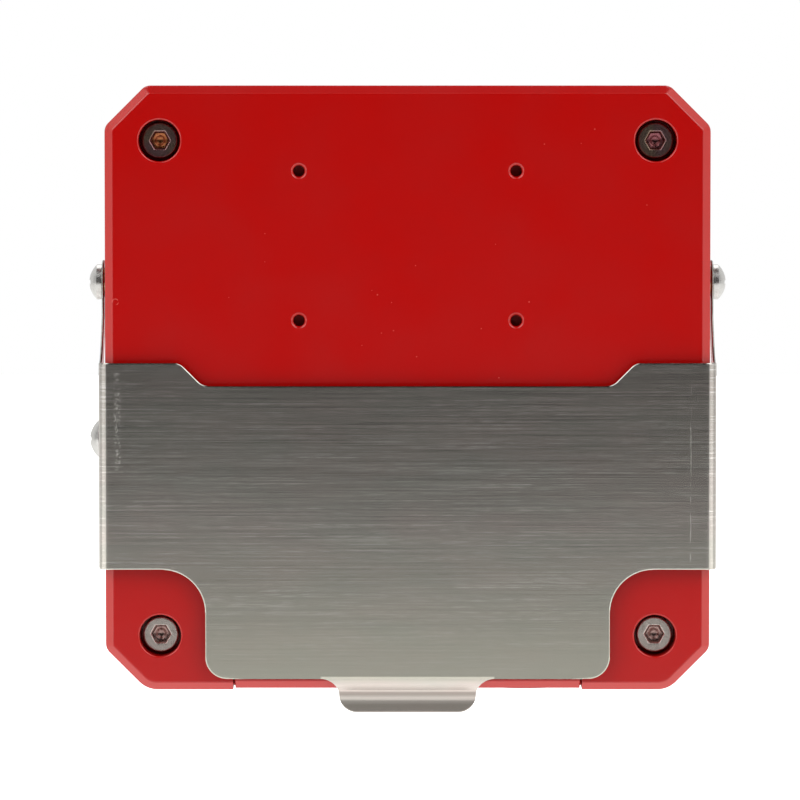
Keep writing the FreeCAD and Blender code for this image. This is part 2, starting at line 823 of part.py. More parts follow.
def lip_outline():
    """Right half of the finger lip seen from the front."""
    flare = lip_flare_half_width - lip_half_width
    sin45 = math.sqrt(0.5)
    flare_mid = flare * (1 - sin45)
    corner_mid = lip_corner_radius * (1 - sin45)
    points = [
        at(0, 0, lip_bend_top),
        at(lip_flare_half_width, 0, lip_bend_top),
        at(lip_flare_half_width, 0, flap_bottom),
        at(lip_half_width, 0, flap_bottom - flare),
        at(lip_half_width, 0, lip_bottom + lip_corner_radius),
        at(lip_half_width - lip_corner_radius, 0, lip_bottom),
        at(0, 0, lip_bottom),
    ]
    bulges = {
        2: at(lip_half_width + flare_mid, 0, flap_bottom - flare_mid),
        4: at(lip_half_width - corner_mid, 0, lip_bottom + corner_mid),
    }
    return chain(points, bulges)


def lip_profile():
    """The bent section of the lip, seen from the side: back under the cover, then down."""
    turn = math.radians(lip_bend_angle)
    first_centre = at(0, flap_front + lip_bend_radius, lip_bend_top)
    run = at(0, lip_run * math.sin(turn), -lip_run * math.cos(turn))

    def on_first(radius, angle):
        return first_centre - at(0, radius * math.cos(angle), radius * math.sin(angle))

    first_inner = lip_bend_radius - sheet
    front_a = on_first(lip_bend_radius, turn)
    back_a = on_first(first_inner, turn)
    front_b = front_a + run
    back_b = back_a + run
    second_centre = front_b - at(0, lip_return_radius * math.cos(turn), lip_return_radius * math.sin(turn))

    def on_second(radius, angle):
        return second_centre + at(0, radius * math.cos(angle), radius * math.sin(angle))

    second_outer = lip_return_radius + sheet
    front_c = on_second(lip_return_radius, 0)
    back_c = on_second(second_outer, 0)
    points = [
        at(0, flap_front, lip_bend_top), front_a, front_b, front_c,
        at(0, front_c.y, lip_bottom), at(0, back_c.y, lip_bottom),
        back_c, back_b, back_a, at(0, flap_front + sheet, lip_bend_top),
    ]
    bulges = {
        0: on_first(lip_bend_radius, turn / 2),
        2: on_second(lip_return_radius, turn / 2),
        6: on_second(second_outer, turn / 2),
        8: on_first(first_inner, turn / 2),
    }
    return chain(points, bulges)


def make_lift_flap():
    reach = flap_depth + 2 * overshoot
    front_trim = prism(flap_front_outline(), at(0, reach, 0))
    front_trim.translate(at(0, flap_front - overshoot, 0))
    side_trim = side_outline()
    sheet_half = folded_channel().common(front_trim).common(side_trim)
    arm = arm_slab().common(side_trim)
    lip_trim = prism(lip_outline(), at(0, reach, 0))
    lip_trim.translate(at(0, flap_front - overshoot, 0))
    lip = prism(lip_profile(), at(lip_flare_half_width, 0, 0)).common(lip_trim)
    half = join([sheet_half, arm, lip])
    eye_hole = rod(bush_radius + bush_running_clearance, flap_half_width - flap_narrow_half_width,
                   at(flap_narrow_half_width, pivot_y, pivot_height), to_right)
    half = half.cut(eye_hole)
    return join([half, mirrored(half)])


def on_both_sides(make_right):
    right = make_right()
    return Part.makeCompound([right, mirrored(right)])


def make_pivot_screws():
    return on_both_sides(lambda: pan_screw(
        pan_head_diameter, pan_head_height, pivot_thread, pivot_screw_length,
        at(pivot_head_seat, pivot_y, pivot_height), to_left))


def make_pivot_bushes():
    start = half_width + pivot_washer_thickness
    length = pivot_head_seat - start
    bore = pivot_thread / 2 + thread_clearance
    return on_both_sides(lambda: tube(bush_radius, bore, length, at(start, pivot_y, pivot_height), to_right))


def make_pivot_washers():
    bore = pivot_thread / 2 + screw_hole_clearance
    return on_both_sides(lambda: tube(pivot_washer_radius, bore, pivot_washer_thickness,
                                      at(half_width, pivot_y, pivot_height), to_right))


def make_pivot_inserts():
    return on_both_sides(lambda: insert(pivot_insert_diameter, pivot_insert_length, pivot_thread / 2,
                                        at(half_width, pivot_y, pivot_height), to_left))


def make_earth_screw():
    seat = at(earth_seat, -earth_from_wall, earth_height)
    return pan_screw(earth_head_diameter, earth_head_height, earth_thread, earth_screw_length,
                     seat, to_right)


def make_earth_washer():
    start = at(-half_width, -earth_from_wall, earth_height)
    bore = earth_thread / 2 + screw_hole_clearance
    return tube(earth_washer_radius, bore, earth_washer_thickness, start, to_left)


def make_earth_spring_washer():
    start = at(-half_width - earth_washer_thickness, -earth_from_wall, earth_height)
    bore = earth_thread / 2 + screw_hole_clearance / 2
    ring = tube(spring_washer_radius, bore, spring_washer_thickness, start, to_left)
    slot = block(start.x - spring_washer_thickness, start.x, start.y - spring_washer_slot / 2,
                 start.y + spring_washer_slot / 2, start.z, start.z + earth_washer_radius)
    return ring.cut(slot)


def make_earth_insert():
    return insert(earth_insert_diameter, earth_insert_length, earth_thread / 2,
                  at(-half_width, -earth_from_wall, earth_height), to_right)


def make_plunger():
    def on_axis(y):
        return at(0, y, window_centre)

    front = rod(plunger_rod_radius, collar_front - plunger_tip, on_axis(plunger_tip), to_wall)
    front = front.makeFillet(plunger_nose_radius, edges_at_depth(front, plunger_tip))
    collar = rod(plunger_collar_radius, plunger_collar_thickness, on_axis(collar_front), to_wall)
    tail = rod(plunger_tail_radius, plunger_end - collar_back, on_axis(collar_back), to_wall)
    whole = join([front, collar, tail])
    groove = tube(plunger_rod_radius, plunger_tail_radius - clip_groove_depth, clip_thickness,
                  on_axis(clip_front), to_wall)
    return whole.cut(groove)


def make_plunger_clip():
    start = at(0, clip_front, window_centre)
    ring = tube(clip_radius, plunger_tail_radius - clip_groove_depth, clip_thickness, start, to_wall)
    mouth = block(-clip_mouth_width / 2, clip_mouth_width / 2, clip_front,
                  clip_front + clip_thickness, window_centre, window_centre + clip_radius)
    return ring.cut(mouth)


def make_plunger_guide():
    def on_axis(y):
        return at(0, y, window_centre)

    spigot = rod(guide_spigot_radius, frame_floor, on_axis(recess_floor), to_wall)
    flange = rod(guide_flange_radius, guide_flange_thickness, on_axis(floor_back), to_wall)
    barrel = rod(guide_barrel_radius, bracket_front - floor_back, on_axis(floor_back), to_wall)
    guide = join([spigot, flange, barrel])
    rod_bore = rod(plunger_rod_radius + plunger_running_clearance, bracket_front - recess_floor,
                   on_axis(recess_floor), to_wall)
    spring_bore = rod(spring_bore_radius, bracket_front - guide_step, on_axis(guide_step), to_wall)
    return guide.cut([rod_bore, spring_bore])


def make_plunger_spring():
    free_length = bracket_front - collar_back - spring_wire
    pitch = free_length / spring_turns
    path = Part.Wire(Part.makeHelix(pitch, free_length, spring_mean_radius).Edges)
    section = regular_outline(spring_wire_sides, spring_wire / 2)
    section.Placement = FreeCAD.Placement(at(spring_mean_radius, 0, 0), FreeCAD.Rotation(upward, to_wall))
    coil = path.makePipeShell([section], True, True)
    coil.Placement = FreeCAD.Placement(at(0, collar_back + spring_wire / 2, window_centre),
                                       FreeCAD.Rotation(upward, to_wall))
    return coil


def make_switch_bracket():
    low = switch_low - bracket_sheet
    plate = block(bracket_left, bracket_right, bracket_front, bracket_back, low, bracket_top)
    leg = block(bracket_leg_left, bracket_right, bracket_front, bracket_front + bracket_leg_depth,
                low, switch_low)
    bracket = join([plate, leg])
    outer_bend = edges_along(bracket, to_right, lambda p: abs(p.z - low) < edge_tolerance
                             and abs(p.y - bracket_front) < edge_tolerance and p.x > bracket_leg_left)
    bracket = bracket.makeFillet(bracket_bend_radius, outer_bend) if outer_bend else bracket
    cuts = [rod(plunger_tail_radius + bracket_plunger_clearance, bracket_sheet,
                at(0, bracket_front, window_centre), to_wall)]
    for x in post_places():
        cuts.append(rod(bracket_screw_thread / 2 + screw_hole_clearance, bracket_sheet,
                        at(x, bracket_front, post_height), to_wall))
    for x in switch_screw_places():
        cuts.append(rod(switch_screw_thread / 2, bracket_sheet, at(x, switch_screw_y(), low), upward))
    return bracket.cut(cuts)


def switch_screw_places():
    middle = switch_left + switch_length / 2
    return (middle - switch_screw_spacing / 2, middle + switch_screw_spacing / 2)


def switch_screw_y():
    return switch_bottom - switch_hole_from_bottom


def make_bracket_screws():
    return Part.makeCompound([
        pan_screw(bracket_screw_head, bracket_screw_head_height, bracket_screw_thread, bracket_screw_length,
                  at(x, bracket_back, post_height), to_front) for x in post_places()])


def switch_tab_places():
    reach = switch_length / 2 - switch_tab_width
    middle = switch_left + switch_length / 2
    return (middle - reach, middle, middle + reach)


def make_switch_body():
    case = block(switch_left, switch_left + switch_length, switch_top, switch_bottom, switch_low, switch_high)
    adds = [rod(switch_button_radius, switch_button_height + boss_root,
                at(switch_left + switch_button_inset, switch_top + boss_root, window_centre), to_front)]
    lug_inner = lever_width / 2 + lug_gap
    for side in (-1, 1):
        z0 = window_centre + side * lug_inner
        z1 = z0 + side * lug_thickness
        adds.append(block(lever_pin_x - lug_half_width, lever_pin_x + lug_half_width,
                          lever_pin_y - lug_above_pin, switch_top + boss_root,
                          min(z0, z1), max(z0, z1)))
    for x in switch_tab_places():
        adds.append(block(x - switch_tab_width / 2, x + switch_tab_width / 2, switch_bottom - boss_root,
                          switch_bottom + switch_tab_length, window_centre - switch_tab_thickness / 2,
                          window_centre + switch_tab_thickness / 2))
    body = join([case] + adds)
    cuts = []
    for x in switch_screw_places():
        hole = switch_screw_thread / 2 + thread_clearance
        cuts.append(rod(hole, switch_thickness, at(x, switch_screw_y(), switch_low), upward))
    pin_length = lever_width + 2 * (lug_gap + lug_thickness)
    pin_start = at(lever_pin_x, lever_pin_y, window_centre - pin_length / 2)
    pin = rod(lever_pin_radius, pin_length, pin_start, upward)
    return body.cut(cuts).fuse(pin)


def make_switch_screws():
    length = switch_thickness + bracket_sheet
    return Part.makeCompound([
        pan_screw(switch_screw_head, switch_screw_head_height, switch_screw_thread, length,
                  at(x, switch_screw_y(), switch_high), downward) for x in switch_screw_places()])


def make_switch_lever():
    """A sprung strip from the pin over to the plunger's tail, with an eye round the pin."""
    tip_x = -lever_overhang
    tip_y = plunger_end + lever_gap + lever_sheet
    eye_outer = lever_pin_radius + lever_running_clearance + lever_eye_wall
    low = window_centre - lever_width / 2
    points = [
        at(lever_pin_x, lever_pin_y - eye_outer, low), at(plunger_tail_radius, tip_y - lever_sheet, low),
        at(tip_x, tip_y - lever_sheet, low), at(tip_x, tip_y, low),
        at(plunger_tail_radius, tip_y, low), at(lever_pin_x, lever_pin_y - eye_outer + lever_sheet, low),
    ]
    strip = prism(chain(points, {}), at(0, 0, lever_width))
    eye = rod(eye_outer, lever_width, at(lever_pin_x, lever_pin_y, low), upward)
    bore = rod(lever_pin_radius + lever_running_clearance, lever_width,
               at(lever_pin_x, lever_pin_y, low), upward)
    return join([strip, eye]).cut(bore)


def terminal_way_places():
    first = -(terminal_ways - 1) * terminal_pitch / 2
    return [first + index * terminal_pitch for index in range(terminal_ways)]


def terminal_front():
    return -back_wall - terminal_standoff - terminal_block_depth


def make_terminal_block():
    half = terminal_ways * terminal_pitch / 2 + terminal_end
    back = -back_wall - terminal_standoff
    front = terminal_front()
    low = terminal_centre_height - terminal_block_height / 2
    high = terminal_centre_height + terminal_block_height / 2
    body = block(-half, half, front, back, low, high)
    cuts = []
    for x in terminal_way_places():
        middle = (front + back) / 2 + terminal_bore_setback
        cuts.append(rod(terminal_bore_radius, terminal_block_height, at(x, middle, low), upward))
        cuts.append(rod(terminal_screw_radius + thread_clearance, middle - front,
                        at(x, front, terminal_centre_height), to_wall))
    for index in range(terminal_ways - 1):
        x = terminal_way_places()[index] + terminal_pitch / 2
        cuts.append(block(x - terminal_groove_width / 2, x + terminal_groove_width / 2, front,
                          front + terminal_groove_depth, low, high))
    step = terminal_end - terminal_step_wall
    for side in (-1, 1):
        x0 = side * half
        x1 = side * (half - step)
        cuts.append(block(min(x0, x1), max(x0, x1), front, front + terminal_step_depth, low, high))
    for x in terminal_fixing_places():
        cuts.append(rod(terminal_fixing_thread / 2 + screw_hole_clearance, terminal_block_depth,
                        at(x, front, terminal_centre_height), to_wall))
    return body.cut(cuts)


def make_terminal_screws():
    screws = []
    for x in terminal_way_places():
        top = at(x, terminal_front() + terminal_screw_sink, terminal_centre_height)
        screw = rod(terminal_screw_radius, terminal_screw_length, top, to_wall)
        slot = block(x - terminal_screw_radius, x + terminal_screw_radius, top.y, top.y + terminal_slot_depth,
                     terminal_centre_height - terminal_slot_width / 2,
                     terminal_centre_height + terminal_slot_width / 2)
        screws.append(screw.cut(slot))
    return Part.makeCompound(screws)


def make_terminal_fixings():
    length = terminal_block_depth - terminal_step_depth + terminal_standoff + terminal_fixing_bite
    return Part.makeCompound([
        pan_screw(terminal_fixing_head, terminal_fixing_head_height, terminal_fixing_thread, length,
                  at(x, terminal_front() + terminal_step_depth, terminal_centre_height), to_wall)
        for x in terminal_fixing_places()])


def make_stopping_plug():
    x = entry_spacing / 2
    seat = -half_height - plug_seal_thickness
    start = at(x, -entry_depth_from_wall, seat)
    thread = rod(entry_bore_radius - plug_thread_clearance, entry_thread_length + plug_seal_thickness,
                 start, upward)
    head = rod(plug_head_radius, plug_head_height, start, downward)
    rim = [e for e in head.Edges if abs(e.CenterOfMass.z - (seat - plug_head_height)) < edge_tolerance]
    head = head.makeFillet(plug_rim_radius, rim)
    key = hex_prism(plug_key_size, plug_key_depth, start + at(0, 0, -plug_head_height), upward)
    hollow = rod(plug_bore_radius, plug_bore_depth, start + at(0, 0, entry_thread_length
                 + plug_seal_thickness), downward)
    return join([thread, head]).cut([key, hollow])


def make_plug_seal():
    start = at(entry_spacing / 2, -entry_depth_from_wall, -half_height)
    return tube(plug_head_radius - plug_seal_setback, entry_bore_radius, plug_seal_thickness, start, downward)


def rounded_path(points, radius):
    """Straight runs through the points, joined by tangent arcs."""
    edges = []
    start = points[0]
    for before, corner, after in zip(points, points[1:], points[2:]):
        into = (corner - before).normalize()
        out = (after - corner).normalize()
        turn = into.getAngle(out)
        setback = radius * math.tan(turn / 2)
        arc_start = corner - into * setback
        arc_end = corner + out * setback
        inward = (out - into).normalize()
        centre = corner + inward * (radius / math.cos(turn / 2))
        arc_mid = centre - inward * radius
        edges.append(Part.LineSegment(start, arc_start).toShape())
        edges.append(Part.Arc(arc_start, arc_mid, arc_end).toShape())
        start = arc_end
    edges.append(Part.LineSegment(start, points[-1]).toShape())
    return Part.Wire(edges)


def make_switch_leads():
    leads = []
    way_y = (terminal_front() - back_wall - terminal_standoff) / 2 + terminal_bore_setback
    low = terminal_centre_height - terminal_block_height / 2
    tab_y = switch_bottom + switch_tab_length / 2
    tab_top = window_centre + switch_tab_thickness / 2
    for tab_x, way_x in zip(switch_tab_places(), terminal_way_places()[1:]):
        points = [
            at(tab_x, tab_y, tab_top),
            at(tab_x, tab_y, tab_top + lead_exit),
            at(way_x, way_y, low - lead_drop),
            at(way_x, way_y, low + lead_reach_in),
        ]
        path = rounded_path(points, lead_turn_radius)
        section = regular_outline(lead_sides, lead_radius)
        section.translate(points[0])
        leads.append(path.makePipeShell([section], True, False))
    return Part.makeCompound(leads)


pieces = {
    "back_box": make_back_box,
    "front_cover": make_front_cover,
    "cover_gasket": make_cover_gasket,
    "base_inserts": make_base_inserts,
    "cover_screws": make_cover_screws,
    "glass_frame": make_glass_frame,
    "glass_pane": make_glass_pane,
    "glass_cushion": make_glass_cushion,
    "frame_screws": make_frame_screws,
    "frame_inserts": make_frame_inserts,
    "lift_flap": make_lift_flap,
    "pivot_screws": make_pivot_screws,
    "pivot_bushes": make_pivot_bushes,
    "pivot_washers": make_pivot_washers,
    "pivot_inserts": make_pivot_inserts,
    "earth_screw": make_earth_screw,
    "earth_washer": make_earth_washer,
    "earth_spring_washer": make_earth_spring_washer,
    "earth_insert": make_earth_insert,
    "plunger": make_plunger,
    "plunger_clip": make_plunger_clip,
    "plunger_guide": make_plunger_guide,
    "plunger_spring": make_plunger_spring,
    "switch_bracket": make_switch_bracket,
    "bracket_screws": make_bracket_screws,
    "switch_body": make_switch_body,
    "switch_screws": make_switch_screws,
    "switch_lever": make_switch_lever,
    "terminal_block": make_terminal_block,
    "terminal_screws": make_terminal_screws,
    "terminal_fixings": make_terminal_fixings,
    "stopping_plug": make_stopping_plug,
    "plug_seal": make_plug_seal,
    "switch_leads": make_switch_leads,
}

os.makedirs("parts", exist_ok=True)
for name, make in pieces.items():
    shape = make()
    shape.exportStep("parts/" + name + ".step")
    box = shape.BoundBox
    print(name, "solids", len(shape.Solids), "valid", shape.isValid(), "volume", round(shape.Volume, 1),
          "x", round(box.XMin, 2), round(box.XMax, 2), "y", round(box.YMin, 2), round(box.YMax, 2),
          "z", round(box.ZMin, 2), round(box.ZMax, 2))
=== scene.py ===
import bpy
import json
import math
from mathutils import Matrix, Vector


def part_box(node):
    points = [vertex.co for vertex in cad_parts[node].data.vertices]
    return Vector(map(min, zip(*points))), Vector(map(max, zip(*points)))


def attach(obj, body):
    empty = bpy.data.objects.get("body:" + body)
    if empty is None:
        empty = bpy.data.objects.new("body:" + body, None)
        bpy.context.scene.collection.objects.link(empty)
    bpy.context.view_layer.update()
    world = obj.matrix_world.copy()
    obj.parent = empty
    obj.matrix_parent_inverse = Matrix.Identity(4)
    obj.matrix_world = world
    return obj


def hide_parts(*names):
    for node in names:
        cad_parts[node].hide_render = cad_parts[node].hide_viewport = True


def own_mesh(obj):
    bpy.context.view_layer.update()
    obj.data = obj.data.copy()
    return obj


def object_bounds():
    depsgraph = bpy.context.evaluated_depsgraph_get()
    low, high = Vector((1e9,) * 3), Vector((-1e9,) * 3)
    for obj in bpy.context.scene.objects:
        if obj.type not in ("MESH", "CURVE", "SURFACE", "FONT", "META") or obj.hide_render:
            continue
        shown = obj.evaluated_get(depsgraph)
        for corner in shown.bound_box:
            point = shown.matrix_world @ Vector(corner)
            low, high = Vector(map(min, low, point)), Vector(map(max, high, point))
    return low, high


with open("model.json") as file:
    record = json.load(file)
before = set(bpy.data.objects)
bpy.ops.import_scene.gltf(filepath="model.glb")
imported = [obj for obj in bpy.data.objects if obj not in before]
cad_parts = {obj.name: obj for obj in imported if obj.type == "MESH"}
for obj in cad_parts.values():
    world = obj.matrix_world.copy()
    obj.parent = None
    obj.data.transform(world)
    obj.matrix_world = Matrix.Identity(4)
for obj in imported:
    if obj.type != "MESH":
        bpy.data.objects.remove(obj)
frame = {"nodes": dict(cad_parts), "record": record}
cadLow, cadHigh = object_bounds()
nodes = frame["nodes"]
mm = 0.001

# The middle of the call point in the photograph, and what one of its pixels measures
photo = {"middleX": 407.0, "middleY": 388.0, "pixel": 0.1988 * mm}


def photoPlace(column, row):
    # a place on the front, in metres, from the photograph's pixels
    return ((column - photo["middleX"]) * photo["pixel"], (photo["middleY"] - row) * photo["pixel"])


def deselectAll():
    if bpy.context.mode != "OBJECT":
        bpy.ops.object.mode_set(mode="OBJECT")
    bpy.ops.object.select_all(action="DESELECT")


def makeActive(piece):
    deselectAll()
    piece.select_set(True)
    bpy.context.view_layer.objects.active = piece


def applyPlace(piece):
    makeActive(piece)
    bpy.ops.object.transform_apply(location=True, rotation=True, scale=True)


def finishModifiers(piece):
    makeActive(piece)
    for modifier in list(piece.modifiers):
        bpy.ops.object.modifier_apply(modifier=modifier.name)


# ---- materials


def colour(code, alpha=1.0):
    # an sRGB hex value as the linear colour that shaders take
    channels = [int(code[i:i + 2], 16) / 255 for i in (0, 2, 4)]
    linear = [c / 12.92 if c <= 0.04045 else ((c + 0.055) / 1.055) ** 2.4 for c in channels]
    return (*linear, alpha)


def addNode(tree, kind, values=None, links=None, **settings):
    node = tree.nodes.new(kind)
    for name, value in settings.items():
        setattr(node, name, value)
    for socket, value in (values or {}).items():
        node.inputs[socket].default_value = value
    for socket, source in (links or {}).items():
        tree.links.new(source, node.inputs[socket])
    return node


def newMaterial(name):
    material = bpy.data.materials.new(name)
    material.use_nodes = True
    tree = material.node_tree
    shader = tree.nodes["Principled BSDF"]
    place = addNode(tree, "ShaderNodeTexCoord").outputs["Object"]
    return material, tree, shader, place


def grainAt(tree, place, sizes, detail=2.0, roughness=0.5):
    # noise whose lumps measure the three sizes, in millimetres along X, Y and Z
    scaled = addNode(tree, "ShaderNodeMapping", {"Scale": [1 / (size * mm) for size in sizes]}, {"Vector": place})
    noise = addNode(tree, "ShaderNodeTexNoise", {"Scale": 1.0, "Detail": detail, "Roughness": roughness},
                    {"Vector": scaled.outputs["Vector"]})
    return noise.outputs["Fac"]


def spread(tree, source, low, high, fromLow=0.3, fromHigh=0.7):
    # moves a noise's middle range onto low..high
    ranged = addNode(tree, "ShaderNodeMapRange",
                     {"From Min": fromLow, "From Max": fromHigh, "To Min": low, "To Max": high},
                     {"Value": source})
    return ranged.outputs["Result"]


def blendColours(tree, factor, first, second):
    # each colour is a hex value or another node's output
    mixed = addNode(tree, "ShaderNodeMix", data_type="RGBA")
    for index, value in ((6, first), (7, second)):
        if isinstance(value, str):
            mixed.inputs[index].default_value = colour(value)
        else:
            tree.links.new(value, mixed.inputs[index])
    if isinstance(factor, float):
        mixed.inputs[0].default_value = factor
    else:
        tree.links.new(factor, mixed.inputs[0])
    return mixed.outputs[2]


def compute(tree, operation, first, second=None, clamp=False):
    node = addNode(tree, "ShaderNodeMath", operation=operation, use_clamp=clamp)
    for index, value in enumerate((first, second)):
        if value is None:
            continue
        if isinstance(value, (int, float)):
            node.inputs[index].default_value = value
        else:
            tree.links.new(value, node.inputs[index])
    return node.outputs[0]


def addBump(tree, shader, height, depth, strength=1.0):
    # depth is the real height of the pattern, in millimetres
    bump = addNode(tree, "ShaderNodeBump", {"Strength": strength, "Distance": depth * mm}, {"Height": height})
    tree.links.new(bump.outputs["Normal"], shader.inputs["Normal"])


def setShader(shader, **values):
    for socket, value in values.items():
        shader.inputs[socket.replace("_", " ")].default_value = value


redMoulding = {
    "colour": "B30503", "darker": "AF0402", "speck": "D8645C",
    "roughness": 0.21, "gloss": 0.6,
    "bevelHighlight": "C4322C", "bevelHighlightShare": 0.85,      # painted highlight: bevels and hole mouths paler, where the side light catches them
    "cloudSize": 14.0,       # slow drift of the pigment
    "peelSize": 0.9,         # faint ripple of the tool's surface
    "peelDepth": 0.0015,
    # dust on the front, as pixels of the photograph: column, row, radius in mm
    "specks": [
        (265, 233.5, 0.11), (265, 261.5, 0.09), (229, 297, 0.09), (415, 265.3, 0.12), (377, 294.3, 0.15),
        (391, 302, 0.11), (371.5, 290, 0.08), (393, 330, 0.12), (381, 332.5, 0.11), (361.5, 344.7, 0.1),
        (416, 356, 0.12), (593, 129.6, 0.14), (543, 144.5, 0.12), (579.6, 143.7, 0.1), (645, 205, 0.12),
        (494.5, 244, 0.1), (528, 301.4, 0.16), (480.4, 328, 0.12), (498, 377, 0.11),
    ],
    "loopPlace": (116.0, 301.5), "loopRadius": 0.6, "loopWidth": 0.14,
}


def makeRedMoulding():
    # satin moulded polyester: even deep red with a soft sheen, a trace of ripple and some dust
    look = redMoulding
    material, tree, shader, place = newMaterial("red moulded polyester")
    cloud = spread(tree, grainAt(tree, place, [look["cloudSize"]] * 3), 0.0, 1.0)
    base = blendColours(tree, cloud, look["colour"], look["darker"])
    flat = addNode(tree, "ShaderNodeVectorMath", {1: (1, 0, 1)}, {0: place}, operation="MULTIPLY").outputs[0]
    marks = None
    for column, row, radius in look["specks"]:
        x, z = photoPlace(column, row)
        away = addNode(tree, "ShaderNodeVectorMath", {1: (x, 0, z)}, {0: flat}, operation="DISTANCE")
        spot = compute(tree, "LESS_THAN", away.outputs["Value"], radius * mm)
        marks = spot if marks is None else compute(tree, "MAXIMUM", marks, spot)
    x, z = photoPlace(*look["loopPlace"])
    away = addNode(tree, "ShaderNodeVectorMath", {1: (x, 0, z)}, {0: flat}, operation="DISTANCE").outputs["Value"]
    ring = compute(tree, "ABSOLUTE", compute(tree, "SUBTRACT", away, look["loopRadius"] * mm))
    loop = compute(tree, "LESS_THAN", ring, look["loopWidth"] * mm / 2)
    broken = compute(tree, "GREATER_THAN", grainAt(tree, place, [0.9] * 3), 0.5)
    marks = compute(tree, "MAXIMUM", marks, compute(tree, "MULTIPLY", loop, broken))
    apart = addNode(tree, "ShaderNodeSeparateXYZ", links={0: place}).outputs["Y"]
    onFront = compute(tree, "LESS_THAN", apart, cadLow.y + 3.2 * mm)
    marks = compute(tree, "MULTIPLY", marks, onFront)
    # bevels face the front at about 45 degrees and get a painted highlight, all but the one along the top, which the
    # side light misses
    faces = addNode(tree, "ShaderNodeSeparateXYZ", links={
        0: addNode(tree, "ShaderNodeNewGeometry").outputs["Normal"]}).outputs
    tilt = compute(tree, "ABSOLUTE", faces["Y"])
    bevel = compute(tree, "MULTIPLY", spread(tree, tilt, 1.0, 0.0, 0.8, 0.93), spread(tree, tilt, 0.0, 1.0, 0.45, 0.6))
    bevel = compute(tree, "MULTIPLY", bevel, spread(tree, faces["Z"], 1.0, 0.0, 0.55, 0.66))
    # painted highlight: the bevels blended toward a paler red
    base = blendColours(tree, compute(tree, "MULTIPLY", bevel, look["bevelHighlightShare"]), base, look["bevelHighlight"])
    tree.links.new(blendColours(tree, compute(tree, "MULTIPLY", marks, 0.75), base, look["speck"]),
                   shader.inputs["Base Color"])
    setShader(shader, Specular_IOR_Level=look["gloss"])
    ripple = grainAt(tree, place, [look["peelSize"]] * 3)
    addBump(tree, shader, ripple, look["peelDepth"])
    tree.links.new(spread(tree, cloud, look["roughness"] - 0.02, look["roughness"] + 0.03, 0.0, 1.0),
                   shader.inputs["Roughness"])
    return material


brushedSteel = {
    "bright": "D0CAC3", "darkGrainAndLipShade": "BBB5AF", "warm": "D0C2BA", "cool": "BCC0B5", "dashColour": "F2EFEB",
    "roughness": 0.155, "strokeRoughness": 0.022, "alongGrain": 0.85,
    # both wider than real strokes, so that they show: the even grain, and single brighter dashes,
    # all long straight strokes that a second noise breaks up
    "strokeLength": 30.0, "strokeWidth": 0.12, "strokeKept": 0.3,
    "dashLength": 40.0, "dashWidth": 0.14, "dashShare": 0.8, "breakLength": 2.6, "breakWidth": 0.3,
    "blotch": 16.0,
    # painted light on the upright face: painted shade, a little darker at the top rows, and a painted reflection, a
    # little more olive at the low ones
    "topTone": "8C8782", "topShare": 0.25, "topRows": (380.0, 540.0),
    "lowTone": "D1D1BE", "lowShare": 0.5, "lowRows": (640.0, 520.0), "toneEnds": (682.0, 676.0),
    "strokeDepth": 0.0001,
    # the rubbed patch at the left bend and the long scratch at the right one, as pixels
    "rub": {"left": 115.5, "right": 120.5, "top": 372.0, "bottom": 468.0}, "rubSoft": 0.3,
    "scratch": {"left": 688.4, "right": 689.3, "top": 380.0, "bottom": 560.0},
    # the finger lip is polished smooth by hands, and has a painted shade in its crease and a painted dark reflection
    # at its end, all as pixel rows
    "lipShadeColour": "7A726A", "creaseShare": 0.6, "endShare": 0.62,
    "smoothFrom": 600.0, "smoothFull": 684.0, "creaseRows": (690.5, 692.0, 694.0, 697.5), "endRows": (698.5, 704.5),
}


def heightOf(row):
    return photoPlace(0.0, row)[1]


def boxMask(tree, place, edges, soft):
    # 1 inside the photograph's rectangle, falling to 0 over the soft width
    apart = addNode(tree, "ShaderNodeSeparateXYZ", links={0: place})
    left, top = photoPlace(edges["left"], edges["top"])
    right, bottom = photoPlace(edges["right"], edges["bottom"])
    masks = []
    for axis, low, high in (("X", left, right), ("Z", bottom, top)):
        away = compute(tree, "ABSOLUTE", compute(tree, "SUBTRACT", apart.outputs[axis], (low + high) / 2))
        masks.append(spread(tree, away, 1.0, 0.0, (high - low) / 2, (high - low) / 2 + soft * mm))
    return compute(tree, "MULTIPLY", *masks)


